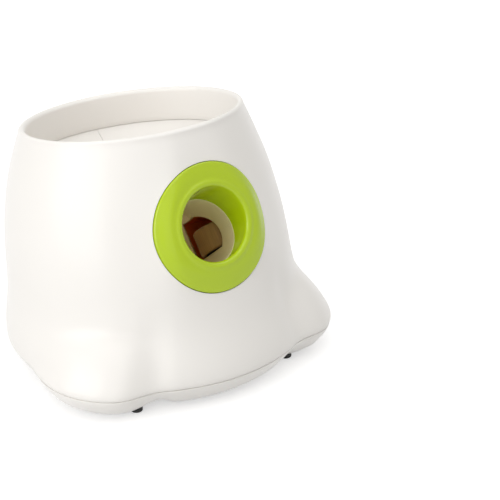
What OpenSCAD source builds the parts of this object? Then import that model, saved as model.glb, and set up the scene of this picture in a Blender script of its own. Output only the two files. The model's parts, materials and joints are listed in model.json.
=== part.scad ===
// Automatic ball launcher: a bowl on top feeds small balls through a gate to two flywheels.
// X is left to right, the muzzle faces -Y, Z is up, and the feet stand on Z = 0. Millimetres.

/* [Body] */
// Half width of the body at its underside
w_floor = 103; // [100:0.5:110]
// Half width where the tray turns under
w_turn = 115.5; // [112:0.5:120]
// Half width at the hips, the widest level
w_hip = 129; // [124:0.5:134]
// Half width above the lobes
w_waist = 122; // [117:0.5:127]
// Half width at the middle
w_middle = 118.5; // [114:0.5:123]
// Half width beside the muzzle ring
w_chest = 111; // [107:0.5:115]
// Half width at the neck
w_neck = 97.5; // [94:0.5:101]
// Half width that the taper aims at above the rim
w_crown = 77.5; // [74:0.5:81]
// Depth of the body as a share of its width
depth_ratio = 0.92; // [0.85:0.01:1]
// How far the top leans back in 100 mm of height
lean = 26; // [20:0.5:30]
// Height of the rim over the shell's own axis
rim_z = 209; // [205:0.5:213]
// Slope of the rim, high side over the muzzle, in degrees
rim_tilt = 9.5; // [7:0.5:12]
// Height of the line between shell and tray
parting_z = 25; // [22:0.5:28]
// Wall thickness of the mouldings
wall = 2.6; // [2:0.1:3]

/* [Lobes] */
// Distance of each lobe's centre from the shell's axis
lobe_reach = 80; // [76:0.5:84]
// Radius of a lobe at the ground
lobe_radius = 66.5; // [62:0.5:70]
// Height where a lobe has melted into the body
lobe_top = 77; // [70:1:84]
// Angle of the front lobes from straight ahead
lobe_angle = 69.5; // [64:0.5:74]
// Depth of the two valleys between the front lobes, at the ground
valley_depth = 8; // [6:0.5:9]

/* [Launcher] */
// Elevation of the barrel in degrees
launch_angle = 40; // [38:1:42]
// Diameter of the ball
ball_d = 50.8; // [50:0.1:51]
// Bore of the barrel
bore_d = 55; // [54:0.5:56]
// Diameter of a flywheel over its tyre
wheel_d = 56; // [55:0.5:57]
// Width of a flywheel
wheel_w = 21; // [19:0.5:21]
// Distance from the barrel's axis to a flywheel's axis
wheel_x = 50; // [49.5:0.25:51]
// Swing of the ball gate in degrees
gate_swing = 50; // [44:1:52]

/* [Muzzle ring] */
// Outer diameter of the green ring
ring_d = 102.5; // [100:0.5:104]
// Diameter over the crest of its lip
lip_d = 64; // [62:0.5:66]
// How far the lip stands out from the body
lip_lift = 2.5; // [1.5:0.25:4]

/* [Power] */
// Diameter of a battery cell
cell_d = 26.2; // [26:0.1:26.4]
// Length of a battery cell
cell_l = 50; // [49:0.5:50]
// Travel of the push buttons
button_travel = 1.5; // [1:0.1:1.5]

/* [Hidden] */
$fn = 48;

// ---------------------------------------------------------------- the body's outline
axis_y = -20.5;               // the shell's own axis, so that the whole object is centred on Z
foot_h = 4;                   // the underside stands this high on its feet
hip_z = 30;
levels = [foot_h, 12, hip_z, 70, 110, 150, 190, 235];
widths = [w_floor, w_turn, w_hip, w_waist, w_middle, w_chest, w_neck, w_crown];
lean_start = 8.5;             // the section's centre is this far behind the axis at the ground
lean_ease = 4;                // and leans less with height
lobe_draw = 0.14;             // a lobe's centre moves in by this share as it rises
rear_reach = lobe_reach + 3;  // the rear lobe lies a little farther out
blend = 26;                   // the power that blends lobes and body
valley_angle = 45;
valley_half = 14;             // a valley is this wide, in degrees, on either side
valley_top = 110;             // and has run out at this height
sides = 72;                   // facets around the body

function rise(i) = (widths[i + 1] - widths[i]) / (levels[i + 1] - levels[i]);
function tangent(i) =
    i == 0 ? rise(0)
    : i == len(levels) - 1 ? rise(i - 1)
    : rise(i - 1) * rise(i) <= 0 ? 0
    : 2 * rise(i - 1) * rise(i) / (rise(i - 1) + rise(i));
function band(z, i = 0) = i >= len(levels) - 2 || z < levels[i + 1] ? i : band(z, i + 1);
// Half width at a height: a smooth curve through the levels
function half_width(z) =
    let (i = band(z), h = levels[i + 1] - levels[i], u = (z - levels[i]) / h)
    widths[i] * (1 + 2 * u) * (1 - u) ^ 2 + widths[i + 1] * u ^ 2 * (3 - 2 * u)
    + h * tangent(i) * u * (1 - u) ^ 2 - h * tangent(i + 1) * u ^ 2 * (1 - u);
function centre_y(z) = lean_start + lean * z / 100 - lean_ease * (z / 100) ^ 2;
// Distance of the oval section's edge from the axis, at an angle from straight ahead
function oval_r(a, z) =
    let (w = half_width(z), d = w * depth_ratio, c = centre_y(z),
        qa = (sin(a) / w) ^ 2 + (cos(a) / d) ^ 2,
        qb = 2 * cos(a) * c / d ^ 2,
        qc = (c / d) ^ 2 - 1)
    (sqrt(qb ^ 2 - 4 * qa * qc) - qb) / (2 * qa);
// The same for one of the three lobes, a low dome that points away from the axis
function lobe_r(a, z, toward, reach = lobe_reach) =
    let (t = min(z / lobe_top, 1),
        r = lobe_radius * sqrt(1 - t ^ 2) - (half_width(hip_z) - half_width(min(z, hip_z))),
        d = reach * (1 - lobe_draw * t),
        q = r ^ 2 - (d * sin(a - toward)) ^ 2)
    r > 0 && q > 0 && cos(a - toward) > 0 ? d * cos(a - toward) + sqrt(q) : 0;
// How far the front valleys are drawn in; they fade out upward
function valley(a, z) =
    let (off = min(abs(acos(cos(a)) - valley_angle) / valley_half, 1))
    valley_depth * (0.5 + 0.5 * cos(180 * off)) * max(1 - z / valley_top, 0) ^ 2;
function body_r(a, z) =
    (oval_r(a, z) ^ blend + lobe_r(a, z, lobe_angle) ^ blend + lobe_r(a, z, -lobe_angle) ^ blend
    + lobe_r(a, z, 180, rear_reach) ^ blend) ^ (1 / blend) - valley(a, z);
function place(a, r, z) = [r * sin(a), axis_y - r * cos(a), z];
function skin(a, z, inset = 0) = place(a, body_r(a, z) - inset, z);
// Height of the rim at an angle: where the body meets the sloping rim plane
function rim_height(a, z = rim_z, n = 12) =
    n == 0 ? z
    : rim_height(a, (z + rim_z + tan(rim_tilt) * cos(a) * body_r(a, z)) / 2, n - 1);
function angle_at(i, n = sides) = 360 * i / n;
function mix(a, b, f) = a + (b - a) * f;
function ease(f) = f * f * (3 - 2 * f);

// ---------------------------------------------------------------- lofted solids
// A list of loops, each a closed ring of points, skinned and joined end to end
module loft(loops, closed = false) {
    n = len(loops);
    m = len(loops[0]);
    last = closed ? n - 1 : n - 2;
    walls = [for (i = [0:last], j = [0:m - 1])
        let (p = i * m + j, q = i * m + (j + 1) % m,
            r = ((i + 1) % n) * m + (j + 1) % m, s = ((i + 1) % n) * m + j)
        each [[p, q, r], [p, r, s]]];
    // A loop is a front row and a back row of the same length, so a cap is a strip between them
    half = m / 2;
    cap = [for (j = [0:half - 2]) each
        [[j, m - 1 - j, j + 1], [j + 1, m - 1 - j, m - 2 - j]]];
    end = (n - 1) * m;
    caps = closed ? []
        : concat(cap, [for (f = cap) [f[2] + end, f[1] + end, f[0] + end]]);
    polyhedron([for (l = loops) each l], concat(walls, caps));
}
// A solid stack of the body's sections at given heights
module body_stack(heights, inset) {
    n = len(heights);
    points = [for (z = heights, i = [0:sides - 1]) skin(angle_at(i), z, inset)];
    walls = [for (k = [0:n - 2], i = [0:sides - 1])
        let (p = k * sides + i, q = k * sides + (i + 1) % sides)
        each [[p, p + sides, q + sides], [p, q + sides, q]]];
    bottom = [for (i = [0:sides - 1]) i];
    top = [for (i = [0:sides - 1]) n * sides - 1 - i];
    polyhedron(points, concat(walls, [bottom, top]));
}
// One closed mesh of a group of solids, for shells that are cut by openings
module as_mesh() resize([0, 0, 0]) children();

// ---------------------------------------------------------------- colours
white = [0.95, 0.94, 0.91];
lime = [0.65, 0.74, 0.11];
cream = [0.90, 0.87, 0.78];
orange = [0.80, 0.24, 0.08];
tan_rubber = [0.66, 0.47, 0.24];
black = [0.06, 0.06, 0.06];
steel = [0.72, 0.73, 0.75];
board_green = [0.05, 0.35, 0.18];
copper = [0.80, 0.50, 0.25];

// ---------------------------------------------------------------- casing
lip_r = 2.5;                  // the rim is a round lip
skirt_drop = 28.5;            // the rim's inner skirt ends this far below it
skirt_t = 2.2;
skirt_draft = 0.05;
seam = 0.4;                   // visible gap between two mouldings
shell_rows = 14;
crotch = 6;                   // the skirt and the wall part this far below the rim

function rim_r(a) = body_r(a, rim_height(a) - lip_r) - lip_r;
function skirt_r(a) = rim_r(a) - lip_r - skirt_draft * skirt_drop;
function skirt_z(a) = rim_height(a) - skirt_drop;
function shell_level(a, k, top) =
    parting_z + (rim_height(a) - top - parting_z) * (k / shell_rows) ^ 1.2;
function shell_loop(a) =
    let (zt = rim_height(a), rc = rim_r(a), zc = zt - lip_r)
    concat(
        [for (k = [0:shell_rows]) let (z = shell_level(a, k, lip_r)) skin(a, z)],
        [for (t = [30:30:150]) place(a, rc + lip_r * cos(t), zc + lip_r * sin(t))],
        [place(a, rc - lip_r, zc), place(a, skirt_r(a), skirt_z(a)),
            place(a, skirt_r(a) + skirt_t, skirt_z(a)),
            place(a, rc - lip_r + skirt_t + 0.1, zt - crotch)],
        [for (k = [shell_rows:-1:0]) let (z = shell_level(a, k, crotch + 2)) skin(a, z, wall)]);

boss_r = 4;
base_bosses = [[100, -58, 64], [-100, -58, 64], [0, 96, 46]];    // x, y and height
pilot_r = 1.45;
screw_r = 1.4;

module pillar(x, y, z0, z1, r) translate([x, y, z0]) cylinder(h = z1 - z0, r = r);

panel_z = [62, 102];          // lower and upper edge of the rear control panel
panel_a = 15;                 // half its width, as an angle about the shell's axis
panel_gap = 0.35;
panel_steps = 12;

// A patch of the body's skin about the rear, between two insets
module rear_patch(grow, outer, inner) {
    z0 = panel_z[0] - grow;
    z1 = panel_z[1] + grow;
    half = panel_a + grow * 0.42;
    loops = [for (i = [0:panel_steps])
        let (a = 180 - half + 2 * half * i / panel_steps)
        concat([for (k = [0:4]) skin(a, mix(z0, z1, k / 4), outer)],
            [for (k = [4:-1:0]) skin(a, mix(z0, z1, k / 4), inner)])];
    loft(loops);
}

module upper_shell() color(white) {
    as_mesh() difference() {
        loft([for (i = [0:sides - 1]) shell_loop(angle_at(i))], closed = true);
        ring_window();
        rear_patch(panel_gap, -2, wall + 2);
    }
    // Screw bosses, which run into the lobes' walls
    difference() {
        union() {
            for (b = base_bosses) pillar(b[0], b[1], 14, b[2], boss_r);
            translate([-1.5, base_bosses[2][1], 34]) cube([3, 20.2, 12]);
        }
        for (b = base_bosses) pillar(b[0], b[1], 13, 34, pilot_r);
    }
}

tray_floor = 2.5;
door_x = 41;                  // half width of the battery door
door_y = [-35, 82.4];
door_gap = 0.6;
door_swing_gap = 2.4;
feet = [[74.5, -82], [-74.5, -82], [58, 62], [-58, 62]];
foot_r = 5;
tongue = [3.7, 5.7];          // the tray's upstand inside the shell, as insets

module tray_holes() {
    for (b = base_bosses) {
        pillar(b[0], b[1], 0, 15, pilot_r + 0.15);
        pillar(b[0], b[1], 0, foot_h + 3, 3.2);
    }
    for (p = concat(cradle_holes, box_holes)) pillar(p[0], p[1], foot_h + 1, 10, pilot_r);
}
module base_tray() color(white) {
    difference() {
        as_mesh() difference() {
            union() {
                difference() {
                    body_stack([foot_h, 6, 8, 10, 12, 15, 18, 21, parting_z - seam], 0);
                    body_stack([foot_h + tray_floor, 8, 10, 12, 15, 18, 21, parting_z + 1], wall);
                }
                difference() {
                    union() {
                        body_stack([18, 21, parting_z - seam], 1.2);
                        body_stack([21, parting_z - seam, 27, 29], tongue[0]);
                    }
                    body_stack([17, 18, 21, parting_z - seam, 27, 30], tongue[1]);
                }
            }
            translate([-door_x - door_gap, door_y[0] - door_swing_gap, 0])
                cube([2 * (door_x + door_gap), door_y[1] - door_y[0] + door_swing_gap + door_gap, 12]);
        }
        tray_holes();
    }
    difference() {
        for (b = base_bosses) pillar(b[0], b[1], foot_h + 1, 13.6, boss_r + 0.8);
        tray_holes();
    }
}

module rubber_feet() color(black)
    for (p = feet) translate([p[0], p[1], 0]) rotate_extrude()
        polygon([[0, 0], [foot_r - 0.6, 0], [foot_r, 0.6], [foot_r, foot_h], [0, foot_h]]);

// A pan head screw with its head's underside at the origin, pointing down
module screw(length, r = screw_r, head_r = 2.7, head_h = 1.8) {
    translate([0, 0, -length]) cylinder(h = length + head_h / 2, r = r);
    cylinder(h = head_h, r = head_r);
}

module base_screws() color(steel)
    for (b = base_bosses) translate([b[0], b[1], foot_h + 3]) rotate([180, 0, 0]) screw(22);

// ---------------------------------------------------------------- muzzle ring
ring_z = 141.5;
ring_tilt = 24;               // the ring's own axis follows the skin
lip_tilt = 21.5;
lip_shift = 2;                // the lip's centre lies this far above the ring's
ring_steps = 48;
muzzle = [0, -70, 130];       // front end of the barrel, on its axis
bore_r = bore_d / 2;
ring_out = ring_d / 2;
sleeve_l = 5;                 // the throat's end slips over the barrel by this much

function tilt_n(t) = [0, -cos(t), sin(t)];
function tilt_v(t) = [0, sin(t), cos(t)];
ring_c = [0, -body_r(0, ring_z), ring_z];    // in the shell's own frame
// Slides a point along the ring's axis until it lies on the body's skin
function settle(p, s = 0, n = 8) =
    let (q = p + s * tilt_n(ring_tilt))
    n == 0 ? s
    : settle(p, s - (norm([q[0], q[1]]) - body_r(atan2(q[0], -q[1]), q[2])), n - 1);
function on_skin(t, r, off) =
    let (p = ring_c + r * (cos(t) * [1, 0, 0] + sin(t) * tilt_v(ring_tilt)))
    p + (settle(p) + off) * tilt_n(ring_tilt) + [0, axis_y, 0];
lip_c = ring_c + lip_lift * tilt_n(ring_tilt) + lip_shift * tilt_v(ring_tilt) + [0, axis_y, 0];
function on_circle(t, c, tilt, r, off = 0) =
    c + r * (cos(t) * [1, 0, 0] + sin(t) * tilt_v(tilt)) + off * tilt_n(tilt);
function on_lip(t, r, off) = on_circle(t, lip_c, lip_tilt, r, off);
// The face rises from the skin to the lip's crest
function on_face(t, r, skin_off, lip_off) =
    let (f = ease((ring_out - 1.5 - r) / (ring_out - 1.5 - lip_d / 2)))
    mix(on_skin(t, r, skin_off), on_lip(t, r, lip_off), f);
function in_throat(t, f, r0, r1) =
    on_circle(t, mix(lip_c, muzzle, f), mix(lip_tilt, launch_angle, f), mix(r0, r1, f));

flange_r = 56;
function ring_loop(t) =
    let (front = [
            on_skin(t, flange_r, -3.2), on_skin(t, ring_out, -3.2), on_skin(t, ring_out, 0.3),
            on_skin(t, ring_out - 0.4, 1), on_face(t, ring_out - 1.5, 1.35, 0),
            on_face(t, 46, 1.5, -0.2), on_face(t, 42, 1.6, -0.1), on_face(t, 38, 1.6, 0),
            on_face(t, 35, 1.6, 0), on_lip(t, 33, 0.25), on_lip(t, 31.6, 0.15),
            on_lip(t, 30.4, -0.7), in_throat(t, 0.12, 29.7, bore_r), in_throat(t, 0.3, 29.3, bore_r),
            in_throat(t, 0.55, 28.9, bore_r), in_throat(t, 0.8, 28.5, bore_r),
            in_throat(t, 1, 28, bore_r),
            on_circle(t, muzzle, launch_angle, bore_r + 2.65),
            on_circle(t, muzzle, launch_angle, bore_r + 2.65, -sleeve_l)],
        back = [
            on_skin(t, flange_r, -5.4), on_skin(t, 50, -5.4), on_skin(t, 49.2, -2.6),
            on_skin(t, 48.8, -1.9), on_face(t, 48, -1.4, -2.8), on_face(t, 45.5, -1.2, -2.8),
            on_face(t, 42, -1, -2.8), on_face(t, 39, -1, -2.8), on_face(t, 37, -1, -3),
            on_lip(t, 35.5, -3.4), on_lip(t, 34.6, -4.2), on_lip(t, 34, -5.2),
            in_throat(t, 0.36, 34, bore_r + 5), in_throat(t, 0.48, 33.8, bore_r + 5),
            in_throat(t, 0.62, 33.6, bore_r + 5), in_throat(t, 0.8, 33.4, bore_r + 5),
            in_throat(t, 1, 33, bore_r + 5),
            on_circle(t, muzzle, launch_angle, bore_r + 5, -2),
            on_circle(t, muzzle, launch_angle, bore_r + 5, -sleeve_l)])
    concat(front, [for (k = [len(back) - 1:-1:0]) back[k]]);

module launch_ring() color(lime)
    loft([for (i = [0:ring_steps - 1]) ring_loop(angle_at(i, ring_steps))], closed = true);

// The hole in the shell that the ring fills
module ring_window() {
    n = 60;
    loops = [for (off = [-22, 25])
        [for (i = [0:n - 1]) on_skin(angle_at(i, n), ring_out + panel_gap, off)]];
    points = [for (l = loops) each l];
    walls = [for (i = [0:n - 1]) let (j = (i + 1) % n) each [[i, n + j, j], [i, n + i, n + j]]];
    fan = [for (i = [1:n - 2]) each [[0, i, i + 1], [n, n + i + 1, n + i]]];
    polyhedron(points, concat(walls, fan));
}

// ---------------------------------------------------------------- bowl floor
chute_y = 60;                 // along the barrel, from the muzzle
chute_r = ball_d / 2 + 2.6;
chute_t = 2.5;
neck_top = 78;                // height of the bowl's hole over the barrel's axis
neck_low = 70;
funnel_t = 2.2;
funnel_seams = [-6.4, 173.6];  // the two halves meet at these angles
seam_a = 0.15;
funnel_steps = 32;

// From the barrel's own frame (x, distance down the barrel, height over it) to the part's frame
function from_barrel(p) =
    muzzle + [p[0], p[1] * cos(launch_angle) + p[2] * sin(launch_angle),
        p[2] * cos(launch_angle) - p[1] * sin(launch_angle)];
function on_neck(t, r, h) = from_barrel([r * sin(t), chute_y - r * cos(t), h]);

function funnel_loop(a) =
    let (drop = [0, 0, -seam],
        rim = place(a, skirt_r(a), skirt_z(a)) + drop,
        under = place(a, skirt_r(a) + skirt_t, skirt_z(a)) + drop,
        hole_c = from_barrel([0, chute_y, neck_top]),
        t = atan2(rim[0], hole_c[1] - rim[1]),
        hole = on_neck(t, chute_r + 0.3, neck_top),
        sag = 3,
        thick = [0, 0, -funnel_t],
        slope = [for (k = [1:4]) mix(rim, hole, k / 5) - [0, 0, sag * sin(36 * k)]],
        front = concat([under, rim], slope, [hole, on_neck(t, chute_r + 0.3, neck_top - 1.7),
            on_neck(t, chute_r + chute_t + 0.3, neck_top - 1.7),
            on_neck(t, chute_r + chute_t + 0.3, neck_low)]),
        back = concat([under + thick, rim + thick], [for (p = slope) p + thick],
            [on_neck(t, chute_r + chute_t + 2.3, neck_top - 1),
                on_neck(t, chute_r + chute_t + 2.3, neck_top - 2),
                on_neck(t, chute_r + chute_t + 2.3, neck_top - 3),
                on_neck(t, chute_r + chute_t + 2.3, neck_low)]))
    concat(front, [for (k = [len(back) - 1:-1:0]) back[k]]);

module funnel_half(a0, a1)
    loft([for (i = [0:funnel_steps]) funnel_loop(mix(a0, a1, i / funnel_steps))]);
module funnel_right() color(white) funnel_half(funnel_seams[0] + seam_a, funnel_seams[1] - seam_a);
module funnel_left() color(white)
    funnel_half(funnel_seams[1] + seam_a, funnel_seams[0] + 360 - seam_a);

// ---------------------------------------------------------------- barrel
barrel_l = 91;
tube_t = 2.5;
tube_r = bore_r + tube_t;
wheel_y = 43.5;               // the flywheels' axes, along the barrel
wheel_z = 1;                  // middle of the tyre over the barrel's axis
pocket_r = 33.5;
pocket_low = -11.5;
pocket_top = 24;
cup_t = 2.5;
stub_top = 30;
stub_flange_r = 36;
flange_h = 2.5;
fit_gap = 0.05;

module in_barrel() translate(muzzle) rotate([-launch_angle, 0, 0]) children();
// A cylinder along the barrel, between two distances from the muzzle
module along(y0, y1, r) translate([0, y0, 0]) rotate([-90, 0, 0]) cylinder(h = y1 - y0, r = r);
module upright(x, y, z0, z1, r) translate([x, y, z0]) cylinder(h = z1 - z0, r = r);
module both_sides() {
    children();
    mirror([1, 0, 0]) children();
}
module pockets() both_sides() upright(wheel_x, wheel_y, pocket_low, pocket_top, pocket_r);

ear_y = [[5.4, 11.6], [79, 88]];   // the two halves are screwed together at these ears
ear_x = 37.8;
ear_screws = [[34, 7.9], [34.5, 84]];
cap_screw_r = 32.5;
end_flange_r = 35.5;
cap_angles = [-20, 200, 235, 305];

module ears(z0) both_sides() for (e = ear_y)
    translate([tube_r - 3, e[0], z0]) cube([ear_x - tube_r + 3, e[1] - e[0], 3]);

module barrel_upper() color(cream) in_barrel() difference() {
    union() {
        intersection() {
            along(0.1, barrel_l, tube_r);
            translate([-50, -1, 0.05]) cube([100, barrel_l + 2, 60]);
        }
        upright(0, chute_y, 0.05, stub_top, chute_r + chute_t);
        upright(0, chute_y, stub_top - flange_h, stub_top, stub_flange_r);
        ears(0.05);
        intersection() {
            along(barrel_l - 3, barrel_l, end_flange_r);
            translate([-50, 0, 0.05]) cube([100, 100, 12]);
        }
    }
    along(-1, barrel_l + 1, bore_r);
    upright(0, chute_y, 0, stub_top + 1, chute_r);
    pockets();
    both_sides() for (s = ear_screws) upright(s[0], s[1], -1, 4, pilot_r);
    for (t = chute_screw_angles) rotate_about(0, chute_y, t) upright(33.2, 0, 20, 31, pilot_r);
    for (t = [-20, 200]) cap_hole(t);
}
module rotate_about(x, y, t) translate([x, y, 0]) rotate([0, 0, t]) children();
module cap_hole(t) translate([cap_screw_r * cos(t), 0, -cap_screw_r * sin(t)])
    along(barrel_l - 6, barrel_l + 5, pilot_r);

ledge_x = [24, 35.7];
ledge_y = [14, 73];
ledge_screws = [[32.5, 20], [32.5, 67]];

module barrel_lower() color(cream) in_barrel() difference() {
    union() {
        intersection() {
            along(0.1, barrel_l, tube_r);
            translate([-50, -1, -60]) cube([100, barrel_l + 2, 59.95]);
        }
        ears(-3.05);
        intersection() {
            along(barrel_l - 3, barrel_l, end_flange_r);
            translate([-50, 0, -50]) cube([100, 100, 49.95]);
        }
        both_sides() translate([ledge_x[0], ledge_y[0], plate_low - 3])
            cube([ledge_x[1] - ledge_x[0], ledge_y[1] - ledge_y[0], 2.95]);
    }
    along(-1, barrel_l + 1, bore_r);
    pockets();
    both_sides() for (s = ear_screws) upright(s[0], s[1], -4, 1, pilot_r + 0.15);
    both_sides() for (s = ledge_screws) upright(s[0], s[1], plate_low - 4, plate_low, pilot_r + 0.15);
    for (t = cap_angles) cap_hole(-t);
}

module barrel_cap() color(cream) in_barrel() difference() {
    union() {
        along(barrel_l - 3.5, barrel_l + 1, bore_r - 0.2);
        intersection() {
            along(barrel_l + 0.05, barrel_l + 3, end_flange_r);
            translate([-50, 0, -50]) cube([100, 200, 62]);
        }
    }
    for (t = cap_angles) cap_hole(-t);
}
module cap_screws() color(steel) in_barrel() for (t = cap_angles)
    translate([cap_screw_r * cos(t), barrel_l + 3, cap_screw_r * sin(t)])
        rotate([-90, 0, 0]) screw(8);
module barrel_screws() color(steel) in_barrel() both_sides() for (s = ear_screws)
    translate([s[0], s[1], -3.05]) rotate([180, 0, 0]) screw(5.8, head_r = 2.5);

// ---------------------------------------------------------------- chute
chute_low = stub_top;
chute_top = neck_top - 2;
chute_screw_angles = [-60, 35, 145, 240];
gate_pivot = [-38, 90];
gate_z = [37, 39.5];
sensor_z = 58;
sensor_hole_r = 2.6;

module chute() color(cream) in_barrel() difference() {
    union() {
        upright(0, chute_y, chute_low, chute_top, chute_r + chute_t);
        upright(0, chute_y, chute_low, chute_low + flange_h, stub_flange_r);
    }
    upright(0, chute_y, chute_low - 1, chute_top + 1, chute_r);
    for (t = chute_screw_angles)
        rotate_about(0, chute_y, t) upright(33.2, 0, 20, 40, pilot_r + 0.15);
    // Slot that the gate swings through
    translate([gate_pivot[0], gate_pivot[1], gate_z[0] - 0.8]) linear_extrude(4.1) polygon([
        [0, 0], 62 * [cos(arm_angle - 23), sin(arm_angle - 23)], 66 * [cos(-30), sin(-30)],
        66 * [cos(0), sin(0)], 62 * [cos(arm_angle + gate_swing + 12), sin(arm_angle + gate_swing + 12)]]);
    translate([-50, chute_y, sensor_z]) rotate([0, 90, 0]) cylinder(h = 100, r = sensor_hole_r);
}
module chute_screws() color(steel) in_barrel() for (t = chute_screw_angles)
    rotate_about(0, chute_y, t)
        translate([33.2, 0, t == 145 ? bracket_top : chute_low + flange_h]) screw(6);

module ball_sensors() color(black) in_barrel() both_sides() {
    translate([chute_r + chute_t + 0.2, chute_y - 4, sensor_z - 4]) cube([5, 8, 8]);
    translate([chute_r + 0.6, chute_y, sensor_z]) rotate([0, 90, 0]) cylinder(h = 3, r = 2.5);
}

// ---------------------------------------------------------------- flywheels
plate_top = pocket_low;
plate_low = pocket_low - 2.5;
housing_angles = [-15, 40, 95];
housing_boss = 39.2;
motor_r = 14;
motor_l = 36;
motor_boss_r = 5;
shaft_r = 1.6;
hub_r = 24;
wheel_r = wheel_d / 2;
wheel_low = wheel_z - wheel_w / 2;
wheel_high = wheel_z + wheel_w / 2;
motor_screw_x = 8;

module housing_ears(z0, z1, r) for (t = housing_angles)
    rotate_about(wheel_x, wheel_y, t) upright(housing_boss, 0, z0, z1, r);
module housing_webs(z0, z1, inner) for (t = housing_angles)
    rotate_about(wheel_x, wheel_y, t) translate([inner, -2.6, z0])
        cube([housing_boss - inner, 5.2, z1 - z0]);
module clear_of_barrel(gap) {
    along(-1, barrel_l + 1, tube_r + gap);
    upright(0, chute_y, 0, 60, chute_r + chute_t + gap);
    both_sides() for (e = ear_y)
        translate([tube_r - 3, e[0] - 0.3, -3.4]) cube([ear_x - tube_r + 3.3, e[1] - e[0] + 0.6, 6.8]);
}
module wheel_housing() color(orange) in_barrel() difference() {
    union() {
        upright(wheel_x, wheel_y, plate_top + 0.05, pocket_top + cup_t, pocket_r + cup_t);
        housing_ears(plate_top + 0.05, 8, 3.6);
        housing_webs(plate_top + 0.5, 7.5, 34.8);
    }
    upright(wheel_x, wheel_y, plate_top - 1, pocket_top, pocket_r);
    clear_of_barrel(fit_gap);
    housing_ears(plate_low - 1, 7, pilot_r);
}
module motor_plate() color(steel) in_barrel() difference() {
    union() {
        upright(wheel_x, wheel_y, plate_low, plate_top, pocket_r + cup_t);
        housing_ears(plate_low, plate_top, 3.6);
        housing_webs(plate_low, plate_top, 34.8);
    }
    clear_of_barrel(fit_gap);
    housing_ears(plate_low - 1, plate_top + 1, pilot_r + 0.15);
    upright(wheel_x, wheel_y, plate_low - 1, plate_top + 1, motor_boss_r + 0.1);
    for (s = [-1, 1]) upright(wheel_x, wheel_y + s * motor_screw_x, plate_low - 1, plate_top + 1,
        pilot_r + 0.15);
    for (s = ledge_screws) upright(s[0], s[1], plate_low - 1, plate_top + 1, pilot_r);
}
module motor() color(steel) in_barrel() difference() {
    union() {
        upright(wheel_x, wheel_y, plate_low - motor_l, plate_low, motor_r);
        upright(wheel_x, wheel_y, plate_low - 1, plate_low + 2, motor_boss_r);
    }
    upright(wheel_x, wheel_y, plate_low - 8, plate_low + 3, shaft_r + fit_gap);
    for (s = [-1, 1]) upright(wheel_x, wheel_y + s * motor_screw_x, plate_low - 5, plate_low + 1,
        pilot_r);
}
module motor_cap() color(black) in_barrel() {
    upright(wheel_x, wheel_y, plate_low - motor_l - 3, plate_low - motor_l, motor_r - 0.6);
    upright(wheel_x, wheel_y, plate_low - motor_l - 5, plate_low - motor_l - 3, 4);
    for (s = [-1, 1]) translate([wheel_x + s * 8 - 1.5, wheel_y - 0.3, plate_low - motor_l - 7.5])
        cube([3, 0.6, 5]);
}
module motor_shaft() color(steel) in_barrel()
    upright(wheel_x, wheel_y, plate_low - 7, wheel_z + 7, shaft_r);
module wheel_hub() color(black) in_barrel() translate([wheel_x, wheel_y, wheel_z])
    rotate_extrude() let (h = wheel_w / 2, web = h - 1.5) polygon([[shaft_r, -web], [18, -web],
        [19.5, -h], [hub_r, -h], [hub_r, h], [19.5, h], [18, web], [shaft_r, web]]);
module wheel_tyre() color(tan_rubber) in_barrel() translate([wheel_x, wheel_y, wheel_z])
    rotate_extrude($fn = 96) let (h = wheel_w / 2) polygon([[hub_r, -h], [wheel_r - 1.2, -h],
        [wheel_r - 0.3, 0.8 - h], [wheel_r, 2 - h], [wheel_r, h - 2], [wheel_r - 0.3, h - 0.8],
        [wheel_r - 1.2, h], [hub_r, h]]);

module left() mirror([1, 0, 0]) children();
module left_wheel_housing() left() wheel_housing();
module right_wheel_housing() wheel_housing();
module left_motor_plate() left() motor_plate();
module right_motor_plate() motor_plate();
module left_motor() left() motor();
module right_motor() motor();
module left_motor_cap() left() motor_cap();
module right_motor_cap() motor_cap();
module left_motor_shaft() left() motor_shaft();
module right_motor_shaft() motor_shaft();
module left_wheel_hub() left() wheel_hub();
module right_wheel_hub() wheel_hub();
module left_wheel_tyre() left() wheel_tyre();
module right_wheel_tyre() wheel_tyre();

module housing_screws() color(steel) in_barrel() both_sides() for (t = housing_angles)
    rotate_about(wheel_x, wheel_y, t) translate([housing_boss, 0, plate_low]) rotate([180, 0, 0])
        screw(15);
module plate_screws() color(steel) in_barrel() both_sides() for (s = ledge_screws)
    translate([s[0], s[1], plate_low - 3]) rotate([180, 0, 0]) screw(5);
module motor_screws() color(steel) in_barrel() both_sides() for (s = [-1, 1])
    translate([wheel_x, wheel_y + s * motor_screw_x, plate_top]) screw(6.5, head_r = 2.4, head_h = 1.3);

// ---------------------------------------------------------------- cradle
cradle_x = [14, 17];
cradle_y = [-84, -42];
cradle_holes = [[21, -79], [-21, -79], [21, -47], [-21, -47]];
cradle_foot = foot_h + tray_floor;

module barrel_cradle() color(cream) difference() {
    union() {
        translate([-26, cradle_y[0], cradle_foot]) cube([52, cradle_y[1] - cradle_y[0], 3]);
        both_sides() translate([cradle_x[0], 0, 0]) rotate([90, 0, 90])
            linear_extrude(cradle_x[1] - cradle_x[0]) difference() {
                polygon([[cradle_y[0], cradle_foot], [cradle_y[1], cradle_foot], [cradle_y[1], 84],
                    [-82, 118], [cradle_y[0], 112]]);
                polygon([[-76, 16], [-50, 16], [-50, 58], [-76, 82]]);
            }
        translate([-cradle_x[1], -66, cradle_foot + 2.5]) cube([2 * cradle_x[1], 3, 74]);
    }
    in_barrel() along(-20, barrel_l + 20, tube_r + fit_gap);
    in_barrel() along(-20, sleeve_l + 0.6, bore_r + 5.5);
    for (p = cradle_holes) pillar(p[0], p[1], 0, 12, pilot_r + 0.15);
}
module cradle_screws() color(steel) for (p = cradle_holes)
    translate([p[0], p[1], cradle_foot + 3]) screw(4.2);

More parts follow.
